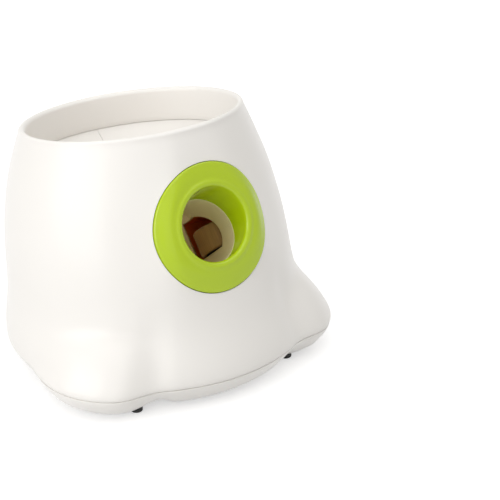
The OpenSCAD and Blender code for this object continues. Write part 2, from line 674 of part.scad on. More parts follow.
// ---------------------------------------------------------------- gate
gear_z = [40, 44];
sector_r = 20;                // pitch radius of the gate's gear sector
pinion_r = 5;
sector_teeth = 40;
pinion_teeth = 10;
pinion_angle = 157;           // from the gate's pivot to the pinion
pinion_at = gate_pivot + (sector_r + pinion_r) * [cos(pinion_angle), sin(pinion_angle)];
gate_pin_r = 2;
bracket_low = chute_low + flange_h + 0.05;
bracket_top = bracket_low + 2.5;
arm_angle = atan2(chute_y - gate_pivot[1], -gate_pivot[0]);
arm_l = 50;

// A spur gear's outline with straight-flanked teeth that stay clear of the mating teeth
module gear_outline(teeth, pitch_r, first = 0, last = -1) {
    m = 2 * pitch_r / teeth;
    step = 360 / teeth;
    stop = last < 0 ? teeth - 1 : last;
    root = pitch_r - 1.2 * m;
    tip = pitch_r + 0.9 * m;
    polygon([for (i = [first:stop], c = [[root, -0.34], [pitch_r, -0.22], [tip, -0.1], [tip, 0.1],
        [pitch_r, 0.22], [root, 0.34]]) c[0] * [cos((i + c[1]) * step), sin((i + c[1]) * step)]]);
}
module ball_gate() color(orange) in_barrel() translate([gate_pivot[0], gate_pivot[1], 0])
    difference() {
        union() {
            translate([0, 0, gate_z[0]]) linear_extrude(gate_z[1] - gate_z[0])
                rotate([0, 0, arm_angle]) union() {
                    translate([0, -6]) square([arm_l, 12]);
                    translate([arm_l, 0]) circle(r = 8);
                    circle(r = 7);
                }
            translate([0, 0, gate_z[0]]) cylinder(h = gear_z[1] - gate_z[0] + 1, r = 6);
            translate([0, 0, gear_z[0]]) linear_extrude(gear_z[1] - gear_z[0])
                rotate([0, 0, pinion_angle]) {
                    intersection() {
                        gear_outline(sector_teeth, sector_r);
                        polygon([[0, 0], 40 * [cos(-72), sin(-72)], 40 * [cos(-40), sin(-40)],
                            [40, 0], 40 * [cos(13.5), sin(13.5)]]);
                    }
                }
        }
        translate([0, 0, gate_z[0] - 1]) cylinder(h = 20, r = gate_pin_r + fit_gap);
    }
module gate_pin() color(steel) in_barrel() {
    upright(gate_pivot[0], gate_pivot[1], bracket_low, gear_z[1] + 4, gate_pin_r);
    upright(gate_pivot[0], gate_pivot[1], gear_z[1] + 1.4, gear_z[1] + 3, 3.5);
}
module gate_bracket() color(steel) in_barrel() difference() {
    translate([0, 0, bracket_low]) linear_extrude(bracket_top - bracket_low) union() {
        hull() {
            translate(gate_pivot) circle(r = 9);
            translate(pinion_at) circle(r = 12);
        }
        hull() {
            translate(gate_pivot) circle(r = 9);
            translate([0, chute_y] + 33.2 * [cos(145), sin(145)]) circle(r = 5);
        }
    }
    upright(0, chute_y, 0, 60, chute_r + chute_t + 0.3);
    upright(gate_pivot[0], gate_pivot[1], 0, 60, gate_pin_r + 0.02);
    upright(pinion_at[0], pinion_at[1], 0, 60, 4.1);
    rotate_about(0, chute_y, 145) upright(33.2, 0, 20, 60, pilot_r + 0.15);
}
module gate_gearmotor() color(steel) in_barrel() difference() {
    union() {
        translate([pinion_at[0] - 6, pinion_at[1] - 5, bracket_low - 9.05]) cube([12, 10, 9]);
        upright(pinion_at[0], pinion_at[1], bracket_low - 1, bracket_top - 0.4, 4);
        intersection() {
            upright(pinion_at[0], pinion_at[1], bracket_low - 24, bracket_low - 9, 6);
            translate([pinion_at[0] - 6, pinion_at[1] - 5, bracket_low - 24]) cube([12, 10, 15]);
        }
    }
    upright(pinion_at[0], pinion_at[1], bracket_low - 8, bracket_top + 1, 1.5 + fit_gap);
}
module gate_shaft() color(steel) in_barrel()
    upright(pinion_at[0], pinion_at[1], bracket_low - 7, gear_z[1] + 1, 1.5);
module gate_pinion() color(white) in_barrel() translate([pinion_at[0], pinion_at[1], 0])
    difference() {
        translate([0, 0, gear_z[0] - 0.3]) linear_extrude(gear_z[1] - gear_z[0] + 0.6)
            rotate([0, 0, pinion_angle + 180 + 180 / pinion_teeth])
                gear_outline(pinion_teeth, pinion_r);
        cylinder(h = 60, r = 1.5);
    }

// ---------------------------------------------------------------- controls
board_y = 98;
board_t = 1.6;
board_x = 34;
board_z = [60, 104];
button_r = 6;
power_at = [21, 88];          // as x and z, on the rear panel
range_at = [-3, 88];
lights_at = [[-20, 95], [-20, 88], [-20, 81]];
inlet_at = [21, 70];
post_at = [[30, 65.5], [-30, 65.5], [30, 98.5], [-30, 98.5]];
button_gap = 0.3;
inlet_r = 4.5;

module rearward(x, z, y0, y1, r) translate([x, y0, z]) rotate([-90, 0, 0])
    cylinder(h = y1 - y0, r = r);

module control_panel($fn = 24) color(lime) as_mesh() difference() {
    union() {
        rear_patch(0, 0.4, wall + 1.2);
        rear_patch(4, wall + 0.4, wall + 2);
        intersection() {
            for (p = post_at) rearward(p[0], p[1], board_y + board_t + 0.02, 122, 3);
            rear_patch(3, wall, 30);
        }
    }
    rearward(power_at[0], power_at[1], 90, 130, button_r + button_gap);
    rearward(range_at[0], range_at[1], 90, 130, button_r + button_gap);
    for (p = lights_at) rearward(p[0], p[1], 90, 130, 1.6);
    rearward(inlet_at[0], inlet_at[1], 90, 130, inlet_r + 0.1);
    for (p = post_at) rearward(p[0], p[1], 90, board_y + 9, pilot_r);
}

stem_y = board_y + board_t + 5.2 + button_travel;    // the stems stop just short of the switches
function face_y(x, z) = axis_y + sqrt(body_r(180 - x / 2.4, z) ^ 2 - x ^ 2);
module push_button(at) color(black) rotate_extrude_y(at, [
    [0, stem_y], [1.4, stem_y], [1.4, face_y(at[0], at[1]) - 8.6],
    [button_r + 1, face_y(at[0], at[1]) - 8.6], [button_r + 1, face_y(at[0], at[1]) - 7],
    [button_r, face_y(at[0], at[1]) - 7], [button_r, face_y(at[0], at[1]) + 0.4],
    [button_r - 0.8, face_y(at[0], at[1]) + 1.2], [0, face_y(at[0], at[1]) + 1.2]]);
// Turns a profile of radius and y about an axis that runs along y
module rotate_extrude_y(at, profile) translate([at[0], 0, at[1]]) rotate([-90, 0, 0])
    rotate_extrude() polygon(profile);
module power_button() push_button(power_at);
module range_button() push_button(range_at);

module tact_switch(at) color(black) {
    translate([at[0] - 3, board_y + board_t, at[1] - 3]) cube([6, 3.5, 6]);
    rearward(at[0], at[1], board_y + board_t + 3.4, board_y + board_t + 5, 1.75);
}
module power_switch() tact_switch(power_at);
module range_switch() tact_switch(range_at);

module indicator_lights() color([0.8, 0.9, 0.8]) for (p = lights_at)
    rearward(p[0], p[1], board_y + board_t + 0.02, face_y(p[0], p[1]) - 0.2, 1.5);

module circuit_board() color(board_green) difference() {
    translate([-board_x, board_y, board_z[0]]) cube([2 * board_x, board_t, board_z[1] - board_z[0]]);
    for (p = post_at) rearward(p[0], p[1], 90, 110, pilot_r + 0.15);
}
module board_parts() {
    color(black) translate([-12, board_y - 2.4, 70]) cube([9, 2.38, 9]);
    color(black) translate([6, board_y - 9, 64]) cube([19, 8.98, 15]);
    color(steel) translate([-22, 0, 74]) rearward(0, 0, board_y - 12, board_y - 0.02, 4);
    color(white) translate([-8, board_y - 6, 92]) cube([22, 5.98, 6]);
    color(white) translate([-27, board_y - 6, 86]) cube([8, 5.98, 6]);
}
module board_screws() color(steel) for (p = post_at)
    translate([p[0], board_y, p[1]]) rotate([90, 0, 0]) screw(6);

module dc_inlet() color(black) difference() {
    union() {
        translate([inlet_at[0] - 4.5, board_y + board_t + 0.02, inlet_at[1] - 5.5]) cube([9, 9, 11]);
        rearward(inlet_at[0], inlet_at[1], board_y + board_t + 8, face_y(inlet_at[0], inlet_at[1]) - 0.6,
            inlet_r);
    }
    rearward(inlet_at[0], inlet_at[1], board_y + board_t + 4, 130, 2.8);
    rearward(inlet_at[0], inlet_at[1], face_y(inlet_at[0], inlet_at[1]) - 3, 130, 3.3);
}

// ---------------------------------------------------------------- batteries
box_x = 1.5 * cell_d + 3.7;   // three cells side by side, two ribs and two walls
box_y = [-26, 2 * cell_l - 15.6];
box_z = [6.6, 39];
box_t = 2;
rib_t = 1.4;
hinge_y = -30;
hinge_z = 9.5;
hinge_pin_r = 1;
lug_x = [30, 34];
knuckle_x = [34.4, 38.4];
box_holes = [[47, -18], [-47, -18], [47, 70], [-47, 70]];
cell_pitch = (2 * (box_x - box_t)) / 3;

module battery_box() color(cream) difference() {
    union() {
        translate([-box_x, box_y[0], box_z[0]])
            cube([2 * box_x, box_y[1] - box_y[0], box_z[1] - box_z[0]]);
        for (p = box_holes) {
            pillar(p[0], p[1], box_z[0], box_z[0] + 2.5, 5);
            translate([min(p[0], sign(p[0]) * box_x), p[1] - 5, box_z[0]])
                cube([abs(abs(p[0]) - box_x), 10, 2.5]);
        }
        both_sides() translate([lug_x[0], 0, 0]) {
            translate([0, hinge_y, box_z[0]]) cube([lug_x[1] - lug_x[0], 5, hinge_z + 2.8 - box_z[0]]);
            translate([0, hinge_y, hinge_z]) rotate([0, 90, 0])
                cylinder(h = lug_x[1] - lug_x[0], r = 2.8);
        }
    }
    difference() {
        translate([-box_x + box_t, box_y[0] + box_t, 0])
            cube([2 * (box_x - box_t), box_y[1] - box_y[0] - 2 * box_t, box_z[1] - box_t]);
        for (s = [-1, 1]) translate([s * cell_pitch / 2 - rib_t / 2, box_y[0], box_z[1] - box_t - 7])
            cube([rib_t, box_y[1] - box_y[0], 12]);
    }
    for (p = box_holes) pillar(p[0], p[1], 0, 12, pilot_r + 0.15);
    // The rear corners clear the tray where it turns up
    both_sides() translate([box_x - 7, box_y[1] - 6.5, box_z[0] - 1]) cube([8, 8, 3.8]);
    translate([-50, hinge_y, hinge_z]) rotate([0, 90, 0]) cylinder(h = 100, r = hinge_pin_r);
    // Two slots that let the battery leads out
    for (x = [-35, 31]) translate([x, box_y[1] - 4, box_z[1] - 8]) cube([4, 8, 3]);
}
module box_screws() color(steel) for (p = box_holes)
    translate([p[0], p[1], box_z[0] + 2.5]) screw(3.6);

// Spring contacts at the rear, flat contacts at the front, for three rows of two cells
module battery_springs() color(steel) for (i = [-1:1])
    translate([i * cell_pitch, box_y[1] - box_t - 0.4, 22]) rotate([90, 0, 0]) {
        cylinder(h = 0.4, r = 10);
        translate([0, 0, 0.4]) cylinder(h = 3.2, r1 = 7, r2 = 4);
    }
module battery_contacts() color(copper) for (i = [-1:1])
    translate([i * cell_pitch - 8, box_y[0] + box_t + 0.02, 14]) cube([16, 0.5, 16]);

module battery_door() color(white) difference() {
    union() {
        translate([-door_x, door_y[0], foot_h + 0.4]) cube([2 * door_x, door_y[1] - door_y[0], 2]);
        both_sides() translate([knuckle_x[0], 0, 0]) {
            translate([0, hinge_y - 2, foot_h + 2.3]) cube([knuckle_x[1] - knuckle_x[0], 4,
                hinge_z - foot_h - 2.3]);
            translate([0, hinge_y, hinge_z]) rotate([0, 90, 0])
                cylinder(h = knuckle_x[1] - knuckle_x[0], r = 2.6);
        }
        // Snap lip at the free end
        translate([-7, door_y[1] - 3.4, foot_h + 2.3]) cube([14, 2, 5]);
        for (i = [-1:1]) translate([i * cell_pitch - 10, door_y[0] + 12, foot_h + 2.3])
            cube([20, 1.2, 1.2]);
    }
    translate([-50, hinge_y, hinge_z]) rotate([0, 90, 0])
        cylinder(h = 100, r = hinge_pin_r + fit_gap);
    // Grip ribs are cut into the outer face
    for (i = [0:3]) translate([-8, door_y[1] - 12 + 2 * i, foot_h]) cube([16, 1, 0.9]);
}
module door_hinge_pin() color(steel) translate([-knuckle_x[1], hinge_y, hinge_z])
    rotate([0, 90, 0]) cylinder(h = 2 * knuckle_x[1], r = hinge_pin_r);

// ---------------------------------------------------------------- wiring
lead_r = 1.1;
function unit(v) = v / norm(v);
function heading(p, i) = unit(p[min(i + 1, len(p) - 1)] - p[max(i - 1, 0)]);
// A lead along a list of points, as a tube with six sides
module lead(p) {
    n = 6;
    loops = [for (i = [0:len(p) - 1])
        let (d = heading(p, i), u = unit(cross(d, [0.31, 0.2, 0.93])), v = cross(d, u))
        [for (k = [0:n - 1]) p[i] + lead_r * (cos(60 * k) * u + sin(60 * k) * v)]];
    points = [for (l = loops) each l];
    m = len(p);
    walls = [for (i = [0:m - 2], k = [0:n - 1]) let (a = i * n + k, b = i * n + (k + 1) % n)
        each [[a, b + n, b], [a, a + n, b + n]]];
    end = (m - 1) * n;
    fan = [for (k = [1:n - 2]) each [[0, k, k + 1], [end, end + k + 1, end + k]]];
    polyhedron(points, concat(walls, fan));
}
motor_lead = [[58, -74, 54], [62, -72, 48], [68, -64, 42], [73, -50, 38], [75, -30, 36], [75, -5, 36],
    [74, 20, 38], [70, 45, 44], [62, 65, 52], [50, 80, 62], [36, 86, 76], [22, 87, 88], [13.5, 86.8, 93.5],
    [11.5, 88.4, 95], [11.5, 91.9, 95]];
battery_lead = [[33, 84.9, 32.5], [33, 88.5, 34], [32, 91, 42], [28, 92, 52], [24, 92.5, 58],
    [21, 94.5, 61.8], [20.5, 97.7, 62.2]];
module motor_leads() color([0.7, 0.1, 0.1]) {
    lead(motor_lead);
    mirror([1, 0, 0]) lead([for (i = [0:len(motor_lead) - 1])
        motor_lead[i] - [i > len(motor_lead) - 4 ? 6 : 0, 0, 0]]);
}
module battery_leads() color([0.7, 0.1, 0.1]) {
    lead(battery_lead);
    lead([for (p = battery_lead) [-p[0], p[1], p[2]]]);
}

upper_shell();
base_tray();
launch_ring();
funnel_right();
funnel_left();
control_panel();
rubber_feet();
base_screws();
barrel_upper();
barrel_lower();
barrel_cap();
cap_screws();
barrel_screws();
barrel_cradle();
cradle_screws();
chute();
chute_screws();
left_wheel_housing();
right_wheel_housing();
housing_screws();
left_motor_plate();
right_motor_plate();
plate_screws();
left_motor();
right_motor();
left_motor_cap();
right_motor_cap();
motor_screws();
left_motor_shaft();
right_motor_shaft();
left_wheel_hub();
right_wheel_hub();
left_wheel_tyre();
right_wheel_tyre();
ball_gate();
gate_pin();
gate_bracket();
gate_gearmotor();
gate_shaft();
gate_pinion();
ball_sensors();
circuit_board();
board_parts();
power_switch();
range_switch();
power_button();
range_button();
indicator_lights();
dc_inlet();
board_screws();
battery_box();
box_screws();
battery_springs();
battery_contacts();
battery_door();
door_hinge_pin();
motor_leads();
battery_leads();
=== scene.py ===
# %% [markdown]
# # Dressing an automatic ball launcher
#
# The launcher is a glossy white body with three soft lobes at its foot, an open bowl on top and a
# lime green muzzle ring in front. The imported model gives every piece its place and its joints.
# This notebook keeps the mechanism as it comes, rebuilds the mouldings that the eye sees first as
# smooth skins, and gives each piece a finish. Sizes are written in millimetres.

# %% Load the frame
import json
import math

import bmesh
import bpy
from mathutils import Matrix, Vector


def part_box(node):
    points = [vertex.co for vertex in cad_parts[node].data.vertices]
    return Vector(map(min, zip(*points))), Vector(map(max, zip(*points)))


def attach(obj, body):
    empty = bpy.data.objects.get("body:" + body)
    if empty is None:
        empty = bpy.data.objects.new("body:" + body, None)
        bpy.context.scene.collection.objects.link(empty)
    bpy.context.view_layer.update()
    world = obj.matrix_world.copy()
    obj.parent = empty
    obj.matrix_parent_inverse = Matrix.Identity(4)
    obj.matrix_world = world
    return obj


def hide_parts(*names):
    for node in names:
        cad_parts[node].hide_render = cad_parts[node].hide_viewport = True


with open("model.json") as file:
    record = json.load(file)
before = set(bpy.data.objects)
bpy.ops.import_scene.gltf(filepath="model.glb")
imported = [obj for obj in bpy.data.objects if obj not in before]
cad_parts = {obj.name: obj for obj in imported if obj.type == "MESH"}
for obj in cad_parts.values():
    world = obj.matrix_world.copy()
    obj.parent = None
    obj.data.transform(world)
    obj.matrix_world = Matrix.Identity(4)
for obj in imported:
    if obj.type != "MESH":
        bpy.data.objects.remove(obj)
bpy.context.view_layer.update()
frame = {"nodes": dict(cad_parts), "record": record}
print("pieces in the frame:", len(frame["nodes"]))

# %% [markdown]
# ## The camera
#
# The picture was taken from the front left, a little above the bowl, with a long lens. A camera
# that looks at one point needs no turning by hand: the direction to that point gives it.

# %% Place the camera
MM = 0.001
stand = Vector((-754.1, -1147.6, 740.7)) * MM
looked_at = Vector((53.6, -60.4, 96.0)) * MM
camera = bpy.data.objects.new("camera", bpy.data.cameras.new("camera"))
camera.data.lens = 132.26
camera.location = stand
camera.rotation_euler = (looked_at - stand).to_track_quat("-Z", "Y").to_euler()
bpy.context.collection.objects.link(camera)
bpy.context.scene.camera = camera
print("camera to object:", round((looked_at - stand).length, 3), "m")

# %% [markdown]
# ## The body's outline
#
# The body is a leaning oval whose width changes with height, and three low domes swell out of it
# near the ground. One function gives the distance of the skin from the axis for any direction and
# height, so that shell, tray, ring and rear panel all meet on the same surface. A high power
# blends the shapes: the larger one wins, with a soft crease between them. At the front those
# creases are drawn in further as two valleys, and beside the muzzle the skin is a little fuller.
# Angles count from the front.

# %% Describe the outline
AXIS_Y = -20.5
LEVELS = [4, 12, 30, 70, 110, 150, 190, 235]
WIDTHS = [103, 115.5, 129, 122, 118.5, 111, 97.5, 77.5]
DEPTH_RATIO = 0.92
LEAN_FOOT, LEAN, LEAN_BEND = 8.5, 26, 4
LOBE_REACH, LOBE_RADIUS, LOBE_TOP, LOBE_ANGLE, LOBE_DRAW = 80, 66.5, 77, 69.5, 0.14
REAR_REACH = LOBE_REACH + 3
WIDEST_Z = 30
BLEND = 26
VALLEY_DEPTH, VALLEY_ANGLE, VALLEY_HALF, VALLEY_TOP, VALLEY_FADE = 8.5, 42, 11.5, 95, 1.2
CHEEK, CHEEK_ANGLE, CHEEK_SPREAD, CHEEK_Z, CHEEK_HEIGHT = 4.5, 28, 14, 140, 45


def rise(i):
    return (WIDTHS[i + 1] - WIDTHS[i]) / (LEVELS[i + 1] - LEVELS[i])


def slope(i):
    if i == 0 or i == len(LEVELS) - 1:
        return rise(min(i, len(LEVELS) - 2))
    before, after = rise(i - 1), rise(i)
    return 0 if before * after <= 0 else 2 * before * after / (before + after)


def half_width(z):
    i = max(k for k in range(len(LEVELS) - 1) if k == 0 or LEVELS[k] <= z)
    h = LEVELS[i + 1] - LEVELS[i]
    u = (z - LEVELS[i]) / h
    ends = WIDTHS[i] * (1 + 2 * u) * (1 - u) ** 2 + WIDTHS[i + 1] * u**2 * (3 - 2 * u)
    return ends + h * (slope(i) * u * (1 - u) ** 2 - slope(i + 1) * u**2 * (1 - u))


def oval(angle, z):
    """The distance to the leaning oval, whose centre moves back from the axis with height."""
    wide = half_width(z)
    deep = wide * DEPTH_RATIO
    centre = LEAN_FOOT + LEAN * z / 100 - LEAN_BEND * (z / 100) ** 2
    a = (math.sin(angle) / wide) ** 2 + (math.cos(angle) / deep) ** 2
    b = 2 * math.cos(angle) * centre / deep**2
    c = (centre / deep) ** 2 - 1
    return (math.sqrt(b * b - 4 * a * c) - b) / (2 * a)


def lobe(angle, z, toward, reach=LOBE_REACH):
    """The distance to a dome at the foot, or 0 where there is no dome."""
    t = min(z / LOBE_TOP, 1)
    turned_under = half_width(WIDEST_Z) - half_width(min(z, WIDEST_Z))
    radius = LOBE_RADIUS * math.sqrt(1 - t * t) - turned_under
    away = reach * (1 - LOBE_DRAW * t)
    turn = angle - math.radians(toward)
    inside = radius**2 - (away * math.sin(turn)) ** 2
    if radius <= 0 or inside <= 0 or math.cos(turn) <= 0:
        return 0
    return away * math.cos(turn) + math.sqrt(inside)


def valley(angle, z):
    """How far the front valleys are drawn in; they fade out upward."""
    off = min(abs(math.degrees(math.acos(math.cos(angle))) - VALLEY_ANGLE) / VALLEY_HALF, 1)
    fade = max(1 - z / VALLEY_TOP, 0) ** VALLEY_FADE
    return VALLEY_DEPTH * (0.5 + 0.5 * math.cos(math.pi * off)) * fade


def cheek(angle, z):
    """The skin is a little fuller on both sides of the muzzle, which flattens the face there."""
    off = math.degrees(math.acos(math.cos(angle))) - CHEEK_ANGLE
    return CHEEK * math.exp(-((off / CHEEK_SPREAD) ** 2) - ((z - CHEEK_Z) / CHEEK_HEIGHT) ** 2)


def body_r(angle, z):
    """The distance of the body's outer skin from the axis."""
    shapes = [oval(angle, z), lobe(angle, z, LOBE_ANGLE), lobe(angle, z, -LOBE_ANGLE),
              lobe(angle, z, 180, REAR_REACH)]
    return sum(r**BLEND for r in shapes) ** (1 / BLEND) - valley(angle, z) + cheek(angle, z)


def place(angle, r, z):
    return Vector((r * math.sin(angle), AXIS_Y - r * math.cos(angle), z))


def skin(angle, z, inset=0):
    return place(angle, body_r(angle, z) - inset, z)


widest = max(body_r(math.radians(a), WIDEST_Z) for a in range(0, 180, 5))
print("farthest from the axis:", round(widest), "mm")

# %% [markdown]
# The bowl's rim lies in a sloping plane, high over the muzzle. Its height at an angle depends on
# how far out the skin is there, and that depends on the height, so a few rounds settle it.

# %% Find the rim
RIM_Z, RIM_TILT = 209, math.radians(9.5)
ROUNDS = 12    # how often a place on the skin is corrected


def rim_height(angle):
    z = RIM_Z
    for _ in range(ROUNDS):
        z = (z + RIM_Z + math.tan(RIM_TILT) * math.cos(angle) * body_r(angle, z)) / 2
    return z


print("rim height, front and rear:", round(rim_height(0), 1), round(rim_height(math.pi), 1))

# %% [markdown]
# ## Helpers for skins
#
# A moulding's skin can be drawn as rings: one circle, extruded once for each further ring, and
# every new vertex moved to its own place. Each vertex remembers its number in the ring, because
# extruding copies what a vertex carries. A skin whose last ring comes back to the first is a
# closed solid once its doubles are merged.

# %% Draw a skin from rings
def draw_skin(rings, close=True):
    bm = bmesh.new()
    number = bm.verts.layers.int.new("number")
    bmesh.ops.create_circle(bm, segments=len(rings[0]), radius=1)
    for i, vert in enumerate(bm.verts):
        vert[number] = i
        vert.co = rings[0][i] * MM
    edges = bm.edges[:]
    for ring in rings[1:] + (rings[:1] if close else []):
        grown = bmesh.ops.extrude_edge_only(bm, edges=edges)["geom"]
        edges = [g for g in grown if isinstance(g, bmesh.types.BMEdge)]
        for vert in (g for g in grown if isinstance(g, bmesh.types.BMVert)):
            vert.co = ring[vert[number]] * MM
    bmesh.ops.remove_doubles(bm, verts=bm.verts, dist=1e-7)
    bmesh.ops.recalc_face_normals(bm, faces=bm.faces)
    return bm


def rings_of(profile, count):
    """One ring for each point of a profile that is worked out at every angle round the axis."""
    turns = [profile(2 * math.pi * i / count) for i in range(count)]
    return [list(ring) for ring in zip(*turns)]


# %% [markdown]
# A finished mesh becomes an object at the origin that rides on its body and stands for its piece
# of the model. Faces are shaded smooth, apart from edges that are really sharp.

# %% Finish a piece
def finish_piece(name, bm, node, body="launcher", sharp=38, within=None, posts=(),
                 cutters=(), soften=0):
    """Trim with one tool, add the posts, cut, and soften the edges, all in that order."""
    for face in bm.faces:
        face.smooth = True
    mesh = bpy.data.meshes.new(name)
    bm.to_mesh(mesh)
    bm.free()
    piece = bpy.data.objects.new(name, mesh)
    bpy.context.collection.objects.link(piece)
    steps = [("INTERSECT", within)] if within else []
    steps += [("UNION", tool) for tool in posts] + [("DIFFERENCE", tool) for tool in cutters]
    for operation, tool in steps:
        cut = piece.modifiers.new("cut", "BOOLEAN")
        cut.operation, cut.object, cut.solver = operation, tool, "EXACT"
    if soften:
        edges = piece.modifiers.new("soft_edges", "BEVEL")
        edges.width, edges.segments, edges.angle_limit = soften * MM, 3, math.radians(50)
    if piece.modifiers:
        bake_modifiers(piece)
    mark_sharp(piece.data, sharp)
    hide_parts(node)
    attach(piece, body)
    print(name, "faces:", len(piece.data.polygons))
    return piece


def bake_modifiers(piece):
    graph = bpy.context.evaluated_depsgraph_get()
    shaped = bpy.data.meshes.new_from_object(piece.evaluated_get(graph))
    piece.modifiers.clear()
    piece.data = shaped


def mark_sharp(mesh, degrees):
    bm = bmesh.new()
    bm.from_mesh(mesh)
    for edge in bm.edges:
        edge.smooth = edge.calc_face_angle(0) < math.radians(degrees)
    for face in bm.faces:
        face.smooth = True
    bm.to_mesh(mesh)
    bm.free()


CUTTERS = []


def cutter(bm):
    """A solid that only shapes others, removed at the end."""
    mesh = bpy.data.meshes.new("cutter")
    bm.to_mesh(mesh)
    bm.free()
    tool = bpy.data.objects.new("cutter", mesh)
    bpy.context.collection.objects.link(tool)
    CUTTERS.append(tool)
    return tool


def box_solid(low, high, round_by=0):
    bm = bmesh.new()
    bmesh.ops.create_cube(bm, size=1)
    size, middle = Vector(high) - Vector(low), (Vector(high) + Vector(low)) / 2
    bmesh.ops.scale(bm, vec=size * MM, verts=bm.verts)
    bmesh.ops.translate(bm, vec=middle * MM, verts=bm.verts)
    if round_by:
        half_height = size.z * MM / 2
        upright = [e for e in bm.edges if abs((e.verts[0].co - e.verts[1].co).z) > half_height]
        bmesh.ops.bevel(bm, geom=upright, offset=round_by * MM, affect="EDGES", segments=6,
                        profile=0.5, material=-1)
    return bm


def rod_solid(start, end, r, sides=48):
    """A cylinder between two points."""
    start, end = Vector(start) * MM, Vector(end) * MM
    bm = bmesh.new()
    bmesh.ops.create_cone(bm, cap_ends=True, segments=sides, radius1=r * MM, radius2=r * MM,
                          depth=(end - start).length)
    turn = (end - start).to_track_quat("Z", "Y").to_matrix().to_4x4()
    bmesh.ops.transform(bm, matrix=Matrix.Translation((start + end) / 2) @ turn, verts=bm.verts)
    return bm


# %% [markdown]
# ## Where the ring sits
#
# The ring's outer edge is a circle that is pushed along its own axis until it meets the skin. Its
# lip is a plain circle that stands a little proud, tilted up the way the ball leaves, and its
# throat narrows to the barrel's front end.

# %% Describe the ring's circles
RING_R, RING_Z, RING_TILT = 51.25, 141.5, math.radians(24)
LIP_TILT, BARREL_TILT = math.radians(21.5), math.radians(40)
LIP_PROUD, LIP_SHIFT = 0.5, 2
MUZZLE = Vector((0, -70, 130))
BORE_R, SLEEVE = 27.5, 5
HOLE_STEPS = 128


def outward(tilt):
    return Vector((0, -math.cos(tilt), math.sin(tilt)))


def upward(tilt):
    return Vector((0, math.sin(tilt), math.cos(tilt)))


RING_C = Vector((0, AXIS_Y - body_r(0, RING_Z), RING_Z))
LIP_C = RING_C + LIP_PROUD * outward(LIP_TILT) + LIP_SHIFT * upward(LIP_TILT)


def circle(turn, centre, tilt, r, off=0):
    across = Vector((math.cos(turn), 0, 0)) + math.sin(turn) * upward(tilt)
    return centre + r * across + off * outward(tilt)


def on_skin(turn, r, off):
    flat = circle(turn, RING_C, RING_TILT, r)
    slide = 0
    for _ in range(ROUNDS):
        p = flat + slide * outward(RING_TILT)
        slide -= math.hypot(p.x, p.y - AXIS_Y) - body_r(math.atan2(p.x, AXIS_Y - p.y), p.z)
    return flat + (slide + off) * outward(RING_TILT)


def ring_hole(r, deep, high):
    """A plug that follows the ring's outer edge through the wall."""
    turns = [2 * math.pi * i / HOLE_STEPS for i in range(HOLE_STEPS)]
    rings = [[on_skin(turn, r, off) for turn in turns] for off in (deep, high)]
    bm = draw_skin(rings, close=False)
    bmesh.ops.holes_fill(bm, edges=bm.edges)
    bmesh.ops.recalc_face_normals(bm, faces=bm.faces)
    return bm


print("lip centre:", [round(x, 1) for x in LIP_C])

# %% [markdown]
# ## The white shell
#
# The shell is one big moulding. Its profile at any angle is a closed loop: up the outside, over
# the rolled rim, down the short skirt inside the bowl, and down the hidden inner wall. Two tools
# then cut the opening for the muzzle ring and the opening for the rear panel.

# %% Model the shell
PARTING, RIM_ROLL, SKIRT_DROP, SKIRT_DRAFT, WALL = 25, 3.2, 28.5, 0.05, 2.6
BODY_STEPS, WALL_STEPS, ROLL_STEPS = 216, 60, 12


def rim_r(angle):
    return body_r(angle, rim_height(angle) - RIM_ROLL) - RIM_ROLL


def skirt_foot(angle):
    """The radius and height of the skirt's lower edge."""
    return rim_r(angle) - RIM_ROLL - SKIRT_DRAFT * SKIRT_DROP, rim_height(angle) - SKIRT_DROP


def shell_profile(angle):
    top, crest = rim_height(angle), rim_r(angle)
    shoulder = top - RIM_ROLL
    foot_r, foot_z = skirt_foot(angle)
    outside = [skin(angle, PARTING, 0.7), skin(angle, PARTING + 0.15, 0.25),
               skin(angle, PARTING + 0.6)]
    for k in range(1, WALL_STEPS + 1):
        share = (k / WALL_STEPS) ** 1.1
        outside.append(skin(angle, PARTING + 0.6 + (shoulder - PARTING - 0.6) * share))
    for k in range(1, ROLL_STEPS):
        t = math.pi * k / ROLL_STEPS
        rolled = shoulder + RIM_ROLL * math.sin(t)
        outside.append(place(angle, crest + RIM_ROLL * math.cos(t), rolled))
    inside = [place(angle, crest - RIM_ROLL - SKIRT_DRAFT * (shoulder - z), z)
              for z in [shoulder - (shoulder - foot_z - 0.4) * k / 6 for k in range(7)]]
    under = [place(angle, foot_r + 0.4, foot_z), place(angle, foot_r + 1.8, foot_z),
             place(angle, foot_r + 2.2, foot_z + 0.4), place(angle, crest - 0.2, top - 6)]
    back = [skin(angle, PARTING + (top - 8 - PARTING) * k / 12, WALL) for k in range(12, -1, -1)]
    return outside + inside + under + back


PANEL_LOW, PANEL_HIGH, PANEL_X, PANEL_CORNER, PANEL_GAP = 62, 102, 35, 6, 0.35
PANEL_TURN, TURN_PER_MM = 15, 0.42      # half the panel's turn about the axis, in degrees
BEHIND_REAR, BEFORE_REAR = -140, -88    # the rear wall lies between these two, as -y


def rear_patch(grow, outer, inner, steps):
    """A closed patch of the skin about the rear, between two insets."""
    bm = bmesh.new()
    bmesh.ops.create_grid(bm, x_segments=steps[0], y_segments=steps[1], size=1)
    half = math.radians(PANEL_TURN + grow * TURN_PER_MM)
    low, high = PANEL_LOW - grow, PANEL_HIGH + grow
    bmesh.ops.solidify(bm, geom=bm.verts[:] + bm.edges[:] + bm.faces[:], thickness=0.5)
    top = max(v.co.z for v in bm.verts)
    for vert in bm.verts:
        u, v = vert.co.x, (vert.co.y + 1) / 2
        inset = outer if vert.co.z > top - 0.1 else inner
        vert.co = skin(math.pi - half * u, low + (high - low) * v, inset) * MM
    bmesh.ops.recalc_face_normals(bm, faces=bm.faces)
    return bm


